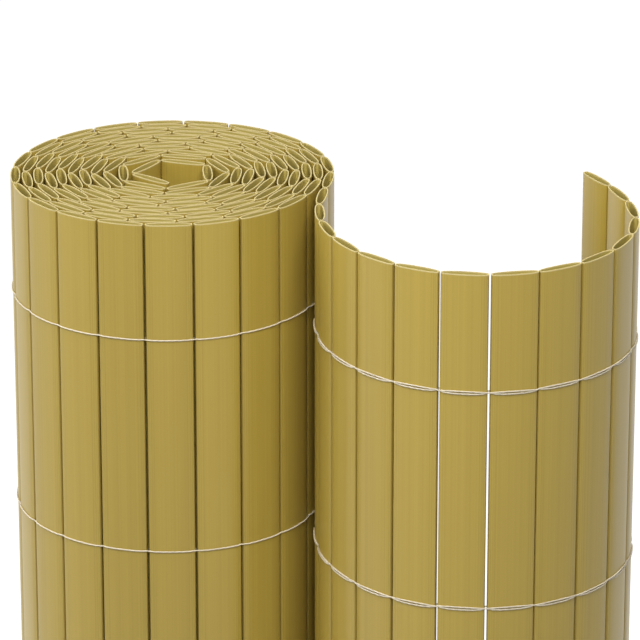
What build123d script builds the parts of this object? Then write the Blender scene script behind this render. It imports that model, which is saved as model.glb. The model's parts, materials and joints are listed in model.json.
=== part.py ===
from build123d import *
import math
import os

os.makedirs("parts", exist_ok=True)

# The mat: a row of hollow slats laced side by side, stood on end, rolled up from one end
mat_height = 1000.0
slat_count = 156
free_slat_count = 16

# One extruded slat: a hollow lens with blunt tips
slat_width = 17.3
slat_thickness = 3.7
slat_tip = 1.15
slat_wall = 0.65
slat_gap = 0.5

# The roll: the inner end stands on this radius, and each turn clears the one inside it
core_radius = 12.5
turn_clearance = 0.51
corner_clearance = 0.15
chord_pass_count = 8

# The free end: leaves the roll towards the front, then bows round the other way, tightest midway
leave_heading = -98.0
leave_bend = 17.5
straight_slat_count = 2
bow_bend = 18.9
bow_ease = 9.0

# The lacing twine: rows counted down from the top edge, strands on the faces that show
twine_top_edge = 44.5
twine_spacing = 84.3
twine_bottom_edge = 20.0
twine_width = 0.8
twine_clearance = 0.15
twine_cover = 305.0
bare_slat_count = 1

slat_pitch = slat_width + slat_gap
roll_slat_count = slat_count - free_slat_count
face_rise = (slat_thickness - slat_tip) / 2
face_radius = ((slat_width / 2) ** 2 + face_rise**2) / (2 * face_rise)
face_centre = face_radius - slat_thickness / 2
bore_radius = face_radius - slat_wall
bore_half_width = math.sqrt(bore_radius**2 - face_centre**2)


def unit(heading):
    """Direction of a heading in degrees, anticlockwise from +X."""
    return Vector(math.cos(math.radians(heading)), math.sin(math.radians(heading)))


def joint_pitch(radius):
    """Width of a slat and its gap; at a sharp bend the corners of the tips hold the slats apart."""
    half_bend = math.asin(min(1.0, slat_pitch / (2 * radius)))
    return slat_width + max(slat_gap, slat_tip * math.tan(half_bend) + corner_clearance)


def turn_pitch(radius):
    """Growth of the roll in one turn, where a corner between slats must clear the next face."""
    corner_sag = slat_pitch**2 / (8 * radius)
    return max(slat_thickness, (slat_thickness + slat_tip) / 2 + corner_sag) + turn_clearance


def roll_steps():
    """Heading and pitch of the rolled slats from the core outwards, clockwise on a spiral of joints."""
    radius = core_radius
    angle = 0.0
    steps = []
    for _ in range(roll_slat_count):
        pitch = joint_pitch(radius)
        sweep = pitch / radius
        for _ in range(chord_pass_count):
            outer = radius + turn_pitch(radius) * sweep / (2 * math.pi)
            chord = math.sqrt(radius**2 + outer**2 - 2 * radius * outer * math.cos(sweep))
            sweep *= pitch / chord
        start = unit(math.degrees(angle)) * radius
        end = unit(math.degrees(angle - sweep)) * outer
        steps.append((math.degrees(math.atan2(end.Y - start.Y, end.X - start.X)), pitch))
        radius = outer
        angle -= sweep
    return steps


def free_steps():
    """Heading and pitch of the unrolled slats from the roll to the free tip."""
    headings = [leave_heading] * straight_slat_count
    bend_count = free_slat_count - straight_slat_count
    for i in range(bend_count):
        from_midway = 2 * i / (bend_count - 1) - 1
        headings.append(headings[-1] + bow_bend - bow_ease * from_midway**2)
    return [(heading, slat_pitch) for heading in headings]


def slat_places():
    """Middle and heading of every slat, with the box round the mat centred on the origin."""
    rolled = roll_steps()
    turned = leave_heading + leave_bend - rolled[-1][0]
    steps = [(heading + turned, pitch) for heading, pitch in rolled] + free_steps()
    joint = Vector(0, 0)
    slats = []
    for heading, pitch in steps:
        slats.append((joint + unit(heading) * (pitch / 2), heading))
        joint += unit(heading) * pitch
    corners = []
    for middle, heading in slats:
        for along in (-slat_width / 2, slat_width / 2):
            corners.append(middle + unit(heading) * along)
    centre_x = (min(c.X for c in corners) + max(c.X for c in corners)) / 2
    centre_y = (min(c.Y for c in corners) + max(c.Y for c in corners)) / 2
    centre = Vector(centre_x, centre_y)
    return [(middle - centre, heading) for middle, heading in slats]


places = slat_places()
roll_places = places[:roll_slat_count]
free_places = places[roll_slat_count:]

# Swept angle of each rolled slat, counted back from where the free end leaves
sweeps = [0.0]
for (_, outer_heading), (_, inner_heading) in zip(roll_places[:0:-1], roll_places[-2::-1]):
    sweeps.append(sweeps[-1] + (inner_heading - outer_heading) % 360)
sweeps.reverse()

# Section of one slat: two shallow arcs between blunt tips, round a bore of even wall
with BuildSketch() as slat_section:
    with BuildLine():
        ThreePointArc(
            (-slat_width / 2, slat_tip / 2),
            (0, slat_thickness / 2),
            (slat_width / 2, slat_tip / 2),
        )
        Line((slat_width / 2, slat_tip / 2), (slat_width / 2, -slat_tip / 2))
        ThreePointArc(
            (slat_width / 2, -slat_tip / 2),
            (0, -slat_thickness / 2),
            (-slat_width / 2, -slat_tip / 2),
        )
        Line((-slat_width / 2, -slat_tip / 2), (-slat_width / 2, slat_tip / 2))
    make_face()
    with BuildLine():
        ThreePointArc((-bore_half_width, 0), (0, bore_radius - face_centre), (bore_half_width, 0))
        ThreePointArc((bore_half_width, 0), (0, face_centre - bore_radius), (-bore_half_width, 0))
    make_face(mode=Mode.SUBTRACT)


def write_slats(name, slats):
    """One node: the given slats as separate solids, standing side by side."""
    with BuildPart() as slats_part:
        with BuildSketch():
            with Locations(*[Location((at.X, at.Y, 0), (0, 0, heading)) for at, heading in slats]):
                add(slat_section.sketch)
        extrude(amount=mat_height)
    slats_part.part.label = name
    export_step(slats_part.part, f"parts/{name}.step")


# The roll, one node to a turn, counted from the outside in, with the part turn at the core in the last
turn_count = int(max(sweeps) // 360)
for turn in range(turn_count):
    in_turn = [
        place
        for place, sweep in zip(roll_places, sweeps)
        if min(sweep // 360, turn_count - 1) == turn
    ]
    write_slats(f"roll_turn_{turn + 1:02d}", in_turn)

# The free end, one node to a slat, counted from the roll to the tip
for number, place in enumerate(free_places, start=1):
    write_slats(f"free_slat_{number:02d}", [place])

# The twine bridges from crest to crest, lifted so that its straight runs clear the curved faces
laced_roll = [place for place, sweep in zip(roll_places, sweeps) if sweep < twine_cover]
laced_free = free_places[bare_slat_count:]


def sharpest_bend(slats):
    """Largest change of heading between neighbours in a row of slats."""
    return max(abs((b[1] - a[1] + 180) % 360 - 180) for a, b in zip(slats, slats[1:]))


half_bend = math.radians(max(sharpest_bend(laced_roll), sharpest_bend(laced_free)) / 2)
face_dip = face_radius * math.tan(half_bend) ** 2 / 2
twine_near = slat_thickness / 2 + face_dip + twine_clearance
twine_far = twine_near + twine_width


def beside(slats, offset):
    """Points beside the middles of the slats: to their left for a positive offset."""
    return [at + unit(heading + 90) * offset for at, heading in slats]


def strand_outline(slats, side):
    """Closed outline of one strand on the left (1) or right (-1) faces of the slats."""
    return beside(slats, side * twine_near) + beside(slats, side * twine_far)[::-1]


# The rows of twine: a strand on the outside of the roll and one on the front of the free end
row_count = int((mat_height - twine_top_edge - twine_bottom_edge) // twine_spacing) + 1
for row in range(row_count):
    row_height = mat_height - twine_top_edge - row * twine_spacing
    with BuildPart() as twine_row:
        with BuildSketch(Plane.XY.offset(row_height)):
            for slats, side in ((laced_roll, 1), (laced_free, -1)):
                with BuildLine():
                    Polyline(*strand_outline(slats, side), close=True)
                make_face()
        extrude(amount=twine_width / 2, both=True)
    twine_row.part.label = f"twine_row_{row + 1:02d}"
    export_step(twine_row.part, f"parts/twine_row_{row + 1:02d}.step")
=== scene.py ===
"""PVC screening mat: hollow slats laced with twine, stood on end and mostly rolled up."""

import json
import math

import bmesh
import bpy
import numpy as np
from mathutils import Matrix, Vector

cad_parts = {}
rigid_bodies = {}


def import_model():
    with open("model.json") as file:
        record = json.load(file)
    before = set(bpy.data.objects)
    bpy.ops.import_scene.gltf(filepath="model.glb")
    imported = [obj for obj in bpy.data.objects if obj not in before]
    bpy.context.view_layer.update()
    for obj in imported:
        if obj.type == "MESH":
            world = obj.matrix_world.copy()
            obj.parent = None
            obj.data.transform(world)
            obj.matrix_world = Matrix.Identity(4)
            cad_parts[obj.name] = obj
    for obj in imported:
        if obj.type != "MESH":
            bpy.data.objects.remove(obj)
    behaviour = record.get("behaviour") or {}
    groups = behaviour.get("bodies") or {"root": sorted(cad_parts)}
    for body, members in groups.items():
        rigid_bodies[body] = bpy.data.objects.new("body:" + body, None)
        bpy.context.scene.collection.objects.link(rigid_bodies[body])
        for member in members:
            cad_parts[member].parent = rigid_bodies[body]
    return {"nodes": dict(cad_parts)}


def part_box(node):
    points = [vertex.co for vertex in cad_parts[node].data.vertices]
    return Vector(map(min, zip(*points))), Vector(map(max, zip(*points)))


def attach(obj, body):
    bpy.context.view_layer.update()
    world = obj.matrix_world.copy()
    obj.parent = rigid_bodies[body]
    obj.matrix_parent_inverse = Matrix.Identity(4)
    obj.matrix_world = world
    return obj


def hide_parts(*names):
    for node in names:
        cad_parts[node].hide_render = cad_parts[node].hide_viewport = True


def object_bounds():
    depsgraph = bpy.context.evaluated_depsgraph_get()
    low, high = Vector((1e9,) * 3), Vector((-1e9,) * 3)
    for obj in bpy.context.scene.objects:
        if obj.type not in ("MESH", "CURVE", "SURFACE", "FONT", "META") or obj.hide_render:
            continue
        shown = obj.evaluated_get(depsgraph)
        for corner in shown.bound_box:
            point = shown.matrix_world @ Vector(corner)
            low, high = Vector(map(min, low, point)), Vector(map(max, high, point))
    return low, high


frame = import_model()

cad_low, cad_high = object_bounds()

# Camera, measured from the middle of the mat's upper end, in metres and degrees; lens and sensor in mm
CAMERA_SIDE = -0.0144
CAMERA_BACK = -1.6639
CAMERA_ABOVE_TOP = 0.5942
CAMERA_PITCH = 21.15
CAMERA_YAW = -0.48
CAMERA_LENS = 270.0
SENSOR_WIDTH = 36.0
CAMERA_NEAR_CLIP = 0.01

# Slat's face: places across it as shares of the half width, how full it is over the middle and at the
# edges, and the share of its fall that the edges take
FACE_STATIONS = (-1, -0.94, -0.87, -0.72, -0.4, 0, 0.4, 0.72, 0.87, 0.94, 1)
FACE_FULLNESS = 2.6
EDGE_FULLNESS = 12
EDGE_SHARE = 0.35

# Slat's sizes in metres, and the places round a tip in degrees
SIDE_EASE = 0.00008
SLAT_WALL = 0.00042
TIP_ROUND = 0.0005
BORE_TIP_ROUND = 0.00024
TIP_ANGLES = (60, 20)
# how far down the faces from the top end the sawn colour runs, as a painted rim highlight
RIM_HIGHLIGHT_DEPTH = 0.00035
MERGE_DISTANCE = 1e-6
TIP_TOLERANCE = 1e-5

# Twine: sizes in metres, sides of a strand, and its places over a slat as shares of the half width
TWINE_RADIUS = 0.00028
HIDDEN_TWINE_RADIUS = 0.0001
TWINE_SPREAD = 0.00048
TWINE_WOBBLE = 0.00022
TWINE_GAP_DEPTH = 0.0010
TWINE_PLY_LENGTH = 0.0024
TWINE_SIDES = 6
HIDDEN_TWINE_SIDES = 4
SHOWN_STATIONS = (-0.97, -0.8, -0.45, 0, 0.45, 0.8, 0.97)
HIDDEN_STATIONS = (-0.9, 0, 0.9)
SPREAD_FULLNESS = 4

# Uneven lacing, in metres: how far any slat may stand aside along the mat, and three drawn further
LACING_SLACK = 0.00008
DRAWN_ASIDE = {
    "free_slat_09": 0.00006,
    "free_slat_10": -0.00028,
    "free_slat_11": -0.00036,
}

# Random seeds
SLAT_SEED = 5
LACING_SEED = 3
TWINE_SEED = 11

# Colours, linear
PVC_DEEP = (0.345, 0.246, 0.038, 1)
PVC_PALE = (0.455, 0.337, 0.066, 1)
# painted shade for the dark gaps between slats
PVC_GAP_SHADE = (0.16, 0.10, 0.012, 1)
# pale sawn ends, also painted down the top of the faces as a rim highlight
PVC_CUT_AND_RIM_HIGHLIGHT = (0.58, 0.495, 0.245, 1)
# painted light: a brighter colour for the bore walls, standing in for light reaching inside
PVC_BORE_PAINTED_LIGHT = (0.45, 0.365, 0.1, 1)
TWINE_CREAM = (0.84, 0.78, 0.64, 1)
# painted shade for the grooves between the plies
TWINE_SHADE = (0.50, 0.43, 0.29, 1)
FLOOR_WHITE = (0.90, 0.90, 0.90, 1)
LAMP_WHITE = (1.0, 0.985, 0.96)
WORLD_WHITE = (1, 1, 1, 1)

# PVC finish: noise scales along X, Y and Z, and how far each pattern moves the tone
STREAK_SCALE = (1500, 1500, 2.0)
STREAK_DETAIL = 2.0
BAND_SCALE = (260, 260, 1.2)
BAND_DETAIL = 1.0
SAW_SCALE = (2500, 2500, 2500)
SAW_DETAIL = 2.0
TONE_MIDDLE = 0.5
SLAT_TONE = 0.14
STREAK_TONE = 0.7
BAND_TONE = 0.4
SAW_TONE = 0.5

# Lines along a slat, and painted shade along its very edge, where the gaps between slats fall dark: place
# and half width as shares of the slat's half width, and their strength
DRAWN_LINES = ((0.83, 0.02), (0.91, 0.016), (0.72, 0.02))
DRAWN_TONE = 0.5
GAP_SHADE_EDGE = (0.99, 0.04)
GAP_SHADE_TONE = 0.45

# Twine finish: plies round a strand, and how far the painted shade in the grooves between plies and the
# fuzz move the tone
PLY_COUNT = 2.0
FUZZ_SCALE = (3000, 3000, 3000)
FUZZ_DETAIL = 2.0
GROOVE_SHADE_TONE = 0.5
FUZZ_TONE = 0.4

# Roughness of the finishes, and their relief
SATIN_ROUGHNESS = 0.30
STREAK_ROUGHNESS = 0.14
CUT_ROUGHNESS = 0.75
TWINE_ROUGHNESS = 0.75
FLOOR_ROUGHNESS = 0.9
PVC_RELIEF = 0.3
TWINE_RELIEF = 0.6
RELIEF_DISTANCE = 0.0001

# Studio, in metres, watts and strengths; the floor's glow grows from the mat's foot outwards
FLOOR_HALF = 9.0
FOOT_GLOW = 0.2
FLOOR_GLOW = 0.86
FOOT_REACH = 0.4
GLOW_REACH = 1.5
WORLD_LIGHT = 0.14
SEEN_WORLD = 1.0
AIM_BELOW_TOP = 0.14
LAMPS = {
    "key": {"place": (0.0, -0.68, 1.74), "size": 0.7, "power": 13.6},
    "top_panel": {"place": (0.1, 0.3, 2.6), "size": 1.6, "power": 5.0},
    "left_panel": {"place": (-1.4, 0.25, 1.5), "size": 1.4, "power": 20.0},
    "right_panel": {"place": (1.4, 1.2, 1.3), "size": 1.2, "power": 6.0},
}


def place_camera():
    """Camera at the photograph's viewing angle, looking down on the upper end of the mat."""
    data = bpy.data.cameras.new("camera")
    data.lens = CAMERA_LENS
    data.sensor_width = SENSOR_WIDTH
    data.clip_start = CAMERA_NEAR_CLIP
    camera = bpy.data.objects.new("camera", data)
    camera.location = (CAMERA_SIDE, CAMERA_BACK, cad_high[2] + CAMERA_ABOVE_TOP)
    camera.rotation_euler = (math.radians(90 - CAMERA_PITCH), 0, math.radians(CAMERA_YAW))
    bpy.context.collection.objects.link(camera)
    bpy.context.scene.camera = camera


class Slat:
    """One slat as the CAD has it: its node, its middle, and the way it runs across the mat."""

    def __init__(self, node, points):
        self.node = node
        self.number = 0
        flat = points[:, :2]
        self.middle = flat.mean(axis=0)
        self.way = np.linalg.svd(flat - self.middle, full_matrices=False)[2][0]
        self.along = (flat - self.middle) @ self.way
        self.across = (flat - self.middle) @ self.left()
        self.half_width = np.abs(self.along).max()

    def left(self):
        """Direction to the left of the slat's way."""
        return np.array([-self.way[1], self.way[0]])

    def end(self, sign):
        """Middle of the tip where the slat ends (1) or starts (-1)."""
        return self.middle + sign * self.half_width * self.way

    def distance(self, joint):
        """How far the nearer tip is from this joint."""
        return min(np.linalg.norm(self.end(sign) - joint) for sign in (-1, 1))

    def run_out_to(self, joint):
        """Turns the slat's way round, where needed, so that it ends at this joint."""
        if np.linalg.norm(self.end(-1) - joint) < np.linalg.norm(self.end(1) - joint):
            self.way = -self.way


def solids_of(node):
    """Vertices of each separate solid in a CAD node, from a merged copy of its mesh."""
    mesh = bmesh.new()
    mesh.from_mesh(frame["nodes"][node].data)
    bmesh.ops.remove_doubles(mesh, verts=mesh.verts, dist=MERGE_DISTANCE)
    waiting = set(mesh.verts)
    solids = []
    while waiting:
        reached = [waiting.pop()]
        for vert in reached:
            for edge in vert.link_edges:
                other = edge.other_vert(vert)
                if other in waiting:
                    waiting.remove(other)
                    reached.append(other)
        solids.append(np.array([vert.co[:] for vert in reached]))
    mesh.free()
    return solids


def laced_chain():
    """Every slat in the order of the lacing, from the core of the roll to the free tip."""
    slat_nodes = [node for node in sorted(frame["nodes"]) if not node.startswith("twine")]
    loose = [Slat(node, solid) for node in slat_nodes for solid in solids_of(node)]
    tip = max((s for s in loose if s.node.startswith("free")), key=lambda s: s.node)
    others = [s for s in loose if s is not tip]
    beside = min(others, key=lambda s: np.linalg.norm(s.middle - tip.middle))
    joint = max((tip.end(-1), tip.end(1)), key=lambda end: np.linalg.norm(end - beside.middle))
    chain = []
    while loose:
        slat = min(loose, key=lambda s: s.distance(joint))
        loose.remove(slat)
        slat.run_out_to(joint)
        joint = slat.end(-1)
        chain.append(slat)
    chain.reverse()
    for number, slat in enumerate(chain):
        slat.number = number
    return chain


def loosen(chain):
    """Moves the slats a little aside along the mat, as uneven lacing leaves them."""
    random = np.random.RandomState(LACING_SEED)
    for slat in chain:
        aside = random.uniform(-LACING_SLACK, LACING_SLACK) + DRAWN_ASIDE.get(slat.node, 0)
        slat.middle = slat.middle + aside * slat.way


class Section:
    """The slat's hollow lens section, measured on one CAD slat."""

    def __init__(self, slat):
        along, across = np.abs(slat.along), np.abs(slat.across)
        self.half_width = slat.half_width - SIDE_EASE
        self.crest = across.max()
        self.tip = across[along > slat.half_width - TIP_TOLERANCE].max()

    def face(self, x):
        """Height of the face over x: a shallow crown that rolls off at both edges."""
        share = abs(x) / self.half_width
        fall = (1 - EDGE_SHARE) * share**FACE_FULLNESS + EDGE_SHARE * share**EDGE_FULLNESS
        return self.crest - (self.crest - self.tip) * fall

    def loop(self, wall, tip_round):
        """Outline a wall's depth inside the faces: one face and its rounded tip, then the other."""
        reach = self.half_width - wall - tip_round
        round_height = self.face(reach) - wall - tip_round
        corner = [
            (reach + tip_round * math.cos(angle), round_height + tip_round * math.sin(angle))
            for angle in map(math.radians, TIP_ANGLES)
        ]
        half = [(reach * share, self.face(reach * share) - wall) for share in FACE_STATIONS]
        half += corner + [(x, -y) for x, y in reversed(corner)]
        return half + [(-x, -y) for x, y in half]


def slat_mesh(section, low, high):
    """One hollow slat at the origin, running along X, with attributes for its finish."""
    outer, bore = section.loop(0, TIP_ROUND), section.loop(SLAT_WALL, BORE_TIP_ROUND)
    count = len(outer)
    build = bmesh.new()
    breadth = build.verts.layers.float.new("breadth")
    cut = build.faces.layers.float.new("cut")
    inside = build.faces.layers.float.new("inside")

    def ring(loop, z):
        """Vertices of an outline at one height, each with its place across the slat."""
        verts = []
        for x, y in loop:
            vert = build.verts.new((x, y, z))
            vert[breadth] = x / section.half_width
            verts.append(vert)
        return verts

    outer_low, outer_high = ring(outer, low), ring(outer, high)
    bore_low, bore_high = ring(bore, low), ring(bore, high)
    for i in range(count):
        j = (i + 1) % count
        build.faces.new((outer_low[j], outer_low[i], outer_high[i], outer_high[j]))
        wall = build.faces.new((bore_low[i], bore_low[j], bore_high[j], bore_high[i]))
        wall[inside] = 1
        for face in (
            build.faces.new((outer_high[j], outer_high[i], bore_high[i], bore_high[j])),
            build.faces.new((outer_low[i], outer_low[j], bore_low[j], bore_low[i])),
        ):
            face[cut] = 1
    bmesh.ops.recalc_face_normals(build, faces=build.faces)
    for face in build.faces:
        face.smooth = face[cut] == 0
    for edge in build.edges:
        edge.smooth = len({face[cut] for face in edge.link_faces}) == 1
    mesh = bpy.data.meshes.new("slat_shape")
    build.to_mesh(mesh)
    build.free()
    return mesh


class Tree:
    """A Geometry Nodes tree under construction, with its named inputs."""

    def __init__(self, name):
        self.tree = bpy.data.node_groups.new(name, "GeometryNodeTree")
        self.tree.is_modifier = True
        self.ids = {}
        self.add_input("Geometry", "NodeSocketGeometry")
        self.tree.interface.new_socket("Geometry", in_out="OUTPUT", socket_type="NodeSocketGeometry")
        self.inputs = self.tree.nodes.new("NodeGroupInput")
        self.output = self.tree.nodes.new("NodeGroupOutput")

    def add_input(self, name, kind):
        """A named input, whose identifier is kept for the modifier."""
        socket = self.tree.interface.new_socket(name, in_out="INPUT", socket_type=kind)
        self.ids[name] = socket.identifier

    def input(self, name):
        """The output that gives this input's value inside the tree."""
        return self.inputs.outputs[name]

    def node(self, kind, links=None, **settings):
        """A node with its settings, and its sockets linked or set by name or number."""
        node = self.tree.nodes.new(kind)
        for name, value in settings.items():
            setattr(node, name, value)
        for socket, value in (links or {}).items():
            if isinstance(value, bpy.types.NodeSocket):
                self.tree.links.new(value, node.inputs[socket])
            else:
                node.inputs[socket].default_value = value
        return node

    def finish(self, geometry):
        """Ends the tree: instances made real, then the finish set on them."""
        real = self.node("GeometryNodeRealizeInstances", {"Geometry": geometry})
        painted = self.node(
            "GeometryNodeSetMaterial",
            {"Geometry": real.outputs["Geometry"], "Material": self.input("Finish")},
        )
        self.tree.links.new(painted.outputs["Geometry"], self.output.inputs["Geometry"])


def slat_row_tree():
    """Stands one slat on every point, turned to the point's heading, with a tone of its own."""
    t = Tree("stand_slats")
    t.add_input("Slat", "NodeSocketObject")
    t.add_input("Finish", "NodeSocketMaterial")
    t.add_input("Tone Seed", "NodeSocketInt")
    shape = t.node("GeometryNodeObjectInfo", {"Object": t.input("Slat")})
    heading = t.node("GeometryNodeInputNamedAttribute", {"Name": "heading"}, data_type="FLOAT")
    turn = t.node("ShaderNodeCombineXYZ", {"Z": heading.outputs["Attribute"]})
    rotation = t.node("FunctionNodeEulerToRotation", {0: turn.outputs["Vector"]})
    stood = t.node(
        "GeometryNodeInstanceOnPoints",
        {
            "Points": t.input("Geometry"),
            "Instance": shape.outputs["Geometry"],
            "Rotation": rotation.outputs["Rotation"],
        },
    )
    number = t.node("GeometryNodeInputNamedAttribute", {"Name": "number"}, data_type="INT")
    tone = t.node("FunctionNodeRandomValue", data_type="FLOAT")
    for socket in tone.inputs:
        if socket.enabled and socket.name == "Min":
            socket.default_value = -1
        elif socket.enabled and socket.name == "Max":
            socket.default_value = 1
        elif socket.name == "ID":
            t.tree.links.new(number.outputs["Attribute"], socket)
        elif socket.name == "Seed":
            t.tree.links.new(t.input("Tone Seed"), socket)
    toned = t.node(
        "GeometryNodeStoreNamedAttribute",
        {
            "Geometry": stood.outputs["Instances"],
            "Name": "tone",
            "Value": tone.outputs[1],
        },
        data_type="FLOAT",
        domain="INSTANCE",
    )
    t.finish(toned.outputs["Geometry"])
    return t


def twine_tree():
    """Sweeps a round strand along every line, and keeps how far along and around it each point is."""
    t = Tree("lay_twine")
    t.add_input("Radius", "NodeSocketFloat")
    t.add_input("Sides", "NodeSocketInt")
    t.add_input("Finish", "NodeSocketMaterial")
    path = t.node("GeometryNodeMeshToCurve", {"Mesh": t.input("Geometry")})
    along = t.node("GeometryNodeSplineParameter")
    marked = t.node(
        "GeometryNodeStoreNamedAttribute",
        {"Geometry": path.outputs["Curve"], "Name": "along", "Value": along.outputs["Length"]},
        data_type="FLOAT",
        domain="POINT",
    )
    circle = t.node(
        "GeometryNodeCurvePrimitiveCircle",
        {"Resolution": t.input("Sides"), "Radius": t.input("Radius")},
        mode="RADIUS",
    )
    around = t.node("GeometryNodeSplineParameter")
    profile = t.node(
        "GeometryNodeStoreNamedAttribute",
        {"Geometry": circle.outputs["Curve"], "Name": "around", "Value": around.outputs["Factor"]},
        data_type="FLOAT",
        domain="POINT",
    )
    strand = t.node(
        "GeometryNodeCurveToMesh",
        {
            "Curve": marked.outputs["Geometry"],
            "Profile Curve": profile.outputs["Geometry"],
            "Fill Caps": True,
        },
    )
    smooth = t.node(
        "GeometryNodeSetShadeSmooth",
        {"Geometry": strand.outputs["Mesh"], "Shade Smooth": True},
    )
    t.finish(smooth.outputs["Geometry"])
    return t


def made_by(tree, mesh, **values):
    """The plain mesh that a tree makes from this one; values are named as its inputs, _ for a space."""
    source = bpy.data.objects.new("source", mesh)
    bpy.context.collection.objects.link(source)
    modifier = source.modifiers.new("shape", "NODES")
    modifier.node_group = tree.tree
    for name, value in values.items():
        modifier[tree.ids[name.replace("_", " ")]] = value
    depsgraph = bpy.context.evaluated_depsgraph_get()
    result = bpy.data.meshes.new_from_object(source.evaluated_get(depsgraph), depsgraph=depsgraph)
    source.modifiers.clear()
    bpy.data.objects.remove(source)
    return result


def add_piece(name, mesh, nodes):
    """A finished piece on the mat's one body, in place of these CAD nodes."""
    piece = bpy.data.objects.new(name, mesh)
    bpy.context.collection.objects.link(piece)
    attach(piece, "root")
    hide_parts(*nodes)


def lay_slats(chain, section, finish):
    """One piece for each CAD node of slats: a turn of the roll, or a slat of the free end."""
    tree = slat_row_tree()
    low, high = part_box(chain[0].node)
    shape = bpy.data.objects.new("slat_shape", slat_mesh(section, low.z, high.z))
    for node in sorted({slat.node for slat in chain}):
        slats = [slat for slat in chain if slat.node == node]
        points = bpy.data.meshes.new("slat_points")
        points.from_pydata([(*slat.middle, 0) for slat in slats], [], [])
        heading = points.attributes.new("heading", "FLOAT", "POINT")
        number = points.attributes.new("number", "INT", "POINT")
        for i, slat in enumerate(slats):
            heading.data[i].value = math.atan2(slat.way[1], slat.way[0])
            number.data[i].value = slat.number
        mesh = made_by(tree, points, Slat=shape, Finish=finish, Tone_Seed=SLAT_SEED)
        add_piece("pvc_" + node, mesh, [node])
    bpy.data.objects.remove(shape)


def strand_line(slats, section, side, z, lift, spread, stations, wobble):
    """Points of one strand over these slats' faces on one side, drawn into every gap."""
    points = []
    for i, slat in enumerate(slats):
        for u in stations:
            height = side * (section.face(u * section.half_width) + lift)
            place = slat.middle + u * section.half_width * slat.way + height * slat.left()
            rise = spread * (1 - u**SPREAD_FULLNESS) + wobble[slat.number]
            points.append((*place, z + rise))
        if i + 1 < len(slats):
            joint = (slat.end(1) + slats[i + 1].end(-1)) / 2
            outward = slat.left() + slats[i + 1].left()
            place = joint + side * TWINE_GAP_DEPTH * outward / np.linalg.norm(outward)
            points.append((*place, z + (wobble[slat.number] + wobble[slats[i + 1].number]) / 2))
    return points


def line_mesh(lines):
    """A mesh of open lines through these lists of points."""
    verts, edges = [], []
    for line in lines:
        first = len(verts)
        verts += line
        edges += [(first + i, first + i + 1) for i in range(len(line) - 1)]
    mesh = bpy.data.meshes.new("twine_lines")
    mesh.from_pydata(verts, edges, [])
    return mesh


def lace_rows(chain, section, finish):
    """Two pieces for each row of twine: the strands that show, and those between the turns of the roll."""
    tree = twine_tree()
    random = np.random.RandomState(TWINE_SEED)
    free = [slat for slat in chain if slat.node.startswith("free")]
    outer_turn = [slat for slat in chain if slat.node == "roll_turn_01"]
    shown = outer_turn + free
    hidden = chain[: len(chain) - len(shown)]
    facing_in = hidden + outer_turn
    for node in sorted(name for name in frame["nodes"] if name.startswith("twine")):
        low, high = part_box(node)
        z = (low.z + high.z) / 2
        wobble = random.uniform(-TWINE_WOBBLE, TWINE_WOBBLE, len(chain))
        shown_lines = [
            strand_line(slats, section, side, z, TWINE_RADIUS, spread, SHOWN_STATIONS, wobble)
            for slats, side, spread in (
                (shown, 1, 0),
                (free, -1, -TWINE_SPREAD),
                (free, -1, TWINE_SPREAD),
            )
        ]
        hidden_lines = [
            strand_line(slats, section, side, z, HIDDEN_TWINE_RADIUS, 0, HIDDEN_STATIONS, wobble)
            for slats, side in ((hidden, 1), (facing_in, -1))
        ]
        shown_mesh = made_by(
            tree,
            line_mesh(shown_lines),
            Radius=TWINE_RADIUS,
            Sides=TWINE_SIDES,
            Finish=finish,
        )
        hidden_mesh = made_by(
            tree,
            line_mesh(hidden_lines),
            Radius=HIDDEN_TWINE_RADIUS,
            Sides=HIDDEN_TWINE_SIDES,
            Finish=finish,
        )
        add_piece("twine_lacing_" + node[-2:], shown_mesh, [node])
        add_piece("twine_inside_" + node[-2:], hidden_mesh, [node])


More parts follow.
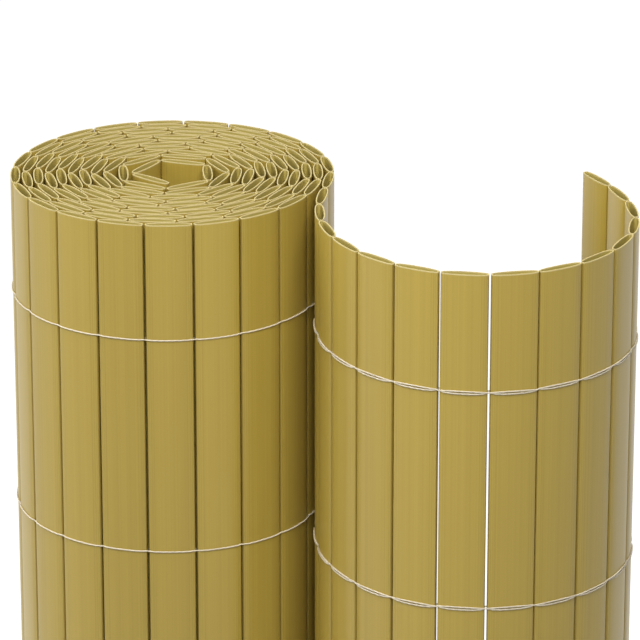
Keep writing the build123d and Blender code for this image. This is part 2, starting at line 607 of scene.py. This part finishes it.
class Finish:
    """A material under construction, with its shader and its pattern's nodes."""

    def __init__(self, name):
        self.material = bpy.data.materials.new(name)
        self.material.use_nodes = True
        self.nodes = self.material.node_tree.nodes
        self.links = self.material.node_tree.links
        self.shader = self.nodes["Principled BSDF"]

    def node(self, kind, links=None, **settings):
        """A node with its settings, and its sockets linked or set by name or number."""
        node = self.nodes.new(kind)
        for name, value in settings.items():
            setattr(node, name, value)
        for socket, value in (links or {}).items():
            self.join(node, socket, value)
        return node

    def join(self, node, socket, value):
        """Links a socket to an output, or sets it to a plain value."""
        if isinstance(value, bpy.types.NodeSocket):
            self.links.new(value, node.inputs[socket])
        else:
            node.inputs[socket].default_value = value

    def attribute(self, name):
        """A value that the mesh keeps for each point, face or slat."""
        return self.node("ShaderNodeAttribute", attribute_name=name).outputs["Fac"]

    def math(self, operation, a, b=0.0, c=0.0):
        """One sum on values or outputs."""
        return self.node("ShaderNodeMath", {0: a, 1: b, 2: c}, operation=operation).outputs[0]

    def noise(self, scale, detail):
        """Noise on Object coordinates, stretched by a scale for each axis."""
        place = self.node("ShaderNodeTexCoord").outputs["Object"]
        stretched = self.node("ShaderNodeMapping", {"Vector": place, "Scale": scale})
        texture = self.node(
            "ShaderNodeTexNoise",
            {"Vector": stretched.outputs["Vector"], "Scale": 1.0, "Detail": detail},
        )
        return texture.outputs["Fac"]

    def mix(self, factor, a, b):
        """Colour a where factor is 0 and b where it is 1; the Mix node's colour sockets go by number."""
        node = self.node("ShaderNodeMix", data_type="RGBA")
        self.join(node, 0, factor)
        self.join(node, 6, a)
        self.join(node, 7, b)
        return node.outputs[2]

    def line(self, value, middle, half_width):
        """1 where value is at middle, falling to 0 at half_width away from it."""
        away = self.math("ABSOLUTE", self.math("SUBTRACT", value, middle))
        near = self.math("SUBTRACT", 1.0, self.math("DIVIDE", away, half_width))
        return self.math("MAXIMUM", near, 0.0)

    def relief(self, height, strength):
        """Raises the surface a little where height is large."""
        bump = self.node(
            "ShaderNodeBump",
            {"Height": height, "Strength": strength, "Distance": RELIEF_DISTANCE},
        )
        self.join(self.shader, "Normal", bump.outputs["Normal"])


def pvc_finish():
    """Satin olive-gold PVC: drawn streaks, fine lines, painted shade along each edge where the gaps
    between slats fall dark, painted light inside the bores, and pale sawn ends whose colour runs a little
    way down the faces as a painted rim highlight.
    """
    f = Finish("olive_gold_pvc")
    streaks = f.noise(STREAK_SCALE, STREAK_DETAIL)
    bands = f.noise(BAND_SCALE, BAND_DETAIL)
    edge = f.math("ABSOLUTE", f.attribute("breadth"))
    drawn_line = 0.0
    for middle, half_width in DRAWN_LINES:
        drawn_line = f.math("ADD", drawn_line, f.line(edge, middle, half_width))
    level = f.math("MULTIPLY_ADD", f.attribute("tone"), SLAT_TONE, TONE_MIDDLE)
    level = f.math("ADD", level, f.math("MULTIPLY_ADD", streaks, STREAK_TONE, -STREAK_TONE / 2))
    level = f.math("ADD", level, f.math("MULTIPLY_ADD", bands, BAND_TONE, -BAND_TONE / 2))
    level = f.math("SUBTRACT", level, f.math("MULTIPLY", drawn_line, DRAWN_TONE))
    # Painted shade: each slat's very edge is darkened, standing in for the shade in the gaps between slats
    gap_shade = f.math("MULTIPLY", f.line(edge, *GAP_SHADE_EDGE), GAP_SHADE_TONE)
    outside = f.mix(gap_shade, f.mix(level, PVC_DEEP, PVC_PALE), PVC_GAP_SHADE)
    # Painted light: the bore walls get a brighter colour than the outside, standing in for light reaching
    # into the bores
    skin = f.mix(f.attribute("inside"), outside, PVC_BORE_PAINTED_LIGHT)
    place = f.node("ShaderNodeTexCoord").outputs["Object"]
    height = f.node("ShaderNodeSeparateXYZ", {0: place}).outputs["Z"]
    # Painted highlight: a thin band at the top of every face takes the pale sawn colour, standing in for
    # light caught on the rim; cut then holds both the sawn ends and this band
    painted_rim_highlight = f.math("GREATER_THAN", height, cad_high[2] - RIM_HIGHLIGHT_DEPTH)
    cut = f.math("MAXIMUM", f.attribute("cut"), painted_rim_highlight)
    saw = f.noise(SAW_SCALE, SAW_DETAIL)
    sawn_and_rim_highlight = f.mix(f.math("MULTIPLY", saw, SAW_TONE), PVC_CUT_AND_RIM_HIGHLIGHT, PVC_PALE)
    f.join(f.shader, "Base Color", f.mix(cut, skin, sawn_and_rim_highlight))
    satin = f.math("MULTIPLY_ADD", streaks, STREAK_ROUGHNESS, SATIN_ROUGHNESS)
    matt = f.math("MULTIPLY", cut, CUT_ROUGHNESS)
    f.join(f.shader, "Roughness", f.math("MAXIMUM", satin, matt))
    f.relief(f.math("SUBTRACT", streaks, drawn_line), PVC_RELIEF)
    return f.material


def twine_finish():
    """Cream twine with the slant of its twisted plies and painted shade in the grooves between them."""
    f = Finish("cream_twine")
    turns = f.math("DIVIDE", f.attribute("along"), TWINE_PLY_LENGTH)
    ply = f.math("ADD", turns, f.math("MULTIPLY", f.attribute("around"), PLY_COUNT))
    wave = f.math("SINE", f.math("MULTIPLY", ply, 2 * math.pi))
    groove = f.math("MULTIPLY_ADD", wave, 0.5, 0.5)
    fuzz = f.noise(FUZZ_SCALE, FUZZ_DETAIL)
    # Painted shade: the grooves between the plies are darkened towards TWINE_SHADE, with random fuzz on
    # top
    shade = f.math("MULTIPLY_ADD", groove, GROOVE_SHADE_TONE, f.math("MULTIPLY", fuzz, FUZZ_TONE))
    f.join(f.shader, "Base Color", f.mix(shade, TWINE_SHADE, TWINE_CREAM))
    f.join(f.shader, "Roughness", TWINE_ROUGHNESS)
    f.relief(groove, TWINE_RELIEF)
    return f.material


def seen_ray(nodes, links):
    """1 for rays that show the studio itself: straight, mirrored or through glass."""
    path = nodes.new("ShaderNodeLightPath")
    straight = nodes.new("ShaderNodeMath")
    straight.operation = "MAXIMUM"
    links.new(path.outputs["Is Camera Ray"], straight.inputs[0])
    links.new(path.outputs["Is Glossy Ray"], straight.inputs[1])
    seen = nodes.new("ShaderNodeMath")
    seen.operation = "MAXIMUM"
    links.new(straight.outputs[0], seen.inputs[0])
    links.new(path.outputs["Is Transmission Ray"], seen.inputs[1])
    return seen.outputs[0]


def lay_floor():
    """White floor that glows to the camera, less round the mat's foot, where its shadow falls."""
    mesh = bpy.data.meshes.new("floor")
    corners = ((-1, -1), (1, -1), (1, 1), (-1, 1))
    verts = [(x * FLOOR_HALF, y * FLOOR_HALF, cad_low[2]) for x, y in corners]
    mesh.from_pydata(verts, [], [(0, 1, 2, 3)])
    floor = bpy.data.objects.new("floor", mesh)
    bpy.context.collection.objects.link(floor)
    f = Finish("studio_floor")
    f.join(f.shader, "Base Color", FLOOR_WHITE)
    f.join(f.shader, "Roughness", FLOOR_ROUGHNESS)
    f.join(f.shader, "Specular IOR Level", 0.0)
    place = f.node("ShaderNodeTexCoord").outputs["Object"]
    away = f.node("ShaderNodeVectorMath", {0: place}, operation="LENGTH").outputs["Value"]
    level = f.node(
        "ShaderNodeMapRange",
        {
            "Value": away,
            "From Min": FOOT_REACH,
            "From Max": GLOW_REACH,
            "To Min": FOOT_GLOW,
            "To Max": FLOOR_GLOW,
        },
        interpolation_type="SMOOTHSTEP",
    )
    share = f.math("MULTIPLY", seen_ray(f.nodes, f.links), level.outputs["Result"])
    glow = f.node("ShaderNodeEmission", {"Strength": share})
    lit = f.node("ShaderNodeAddShader", {0: f.shader.outputs[0], 1: glow.outputs[0]})
    f.links.new(lit.outputs[0], f.nodes["Material Output"].inputs["Surface"])
    mesh.materials.append(f.material)


def light_world():
    """Even white surround: a plain level for lighting, full white where it is seen."""
    world = bpy.data.worlds.new("surround")
    bpy.context.scene.world = world
    world.use_nodes = True
    nodes, links = world.node_tree.nodes, world.node_tree.links
    background = nodes["Background"]
    background.inputs["Color"].default_value = WORLD_WHITE
    level = nodes.new("ShaderNodeMapRange")
    links.new(seen_ray(nodes, links), level.inputs["Value"])
    level.inputs["To Min"].default_value = WORLD_LIGHT
    level.inputs["To Max"].default_value = SEEN_WORLD
    links.new(level.outputs["Result"], background.inputs["Strength"])


def hang_lamps():
    """Soft square lamps out of the camera's sight, turned to the upper part of the mat."""
    aim = Vector((0, 0, cad_high[2] - AIM_BELOW_TOP))
    for name, lamp in LAMPS.items():
        data = bpy.data.lights.new(name, "AREA")
        data.size = lamp["size"]
        data.energy = lamp["power"]
        data.color = LAMP_WHITE
        light = bpy.data.objects.new(name, data)
        light.location = lamp["place"]
        light.rotation_euler = (aim - light.location).to_track_quat("-Z", "Y").to_euler()
        light.visible_camera = False
        bpy.context.collection.objects.link(light)


place_camera()
chain = laced_chain()
loosen(chain)
section = Section(chain[0])
lay_slats(chain, section, pvc_finish())
lace_rows(chain, section, twine_finish())
lay_floor()
light_world()
hang_lamps()
bpy.context.scene.view_settings.view_transform = "Standard"
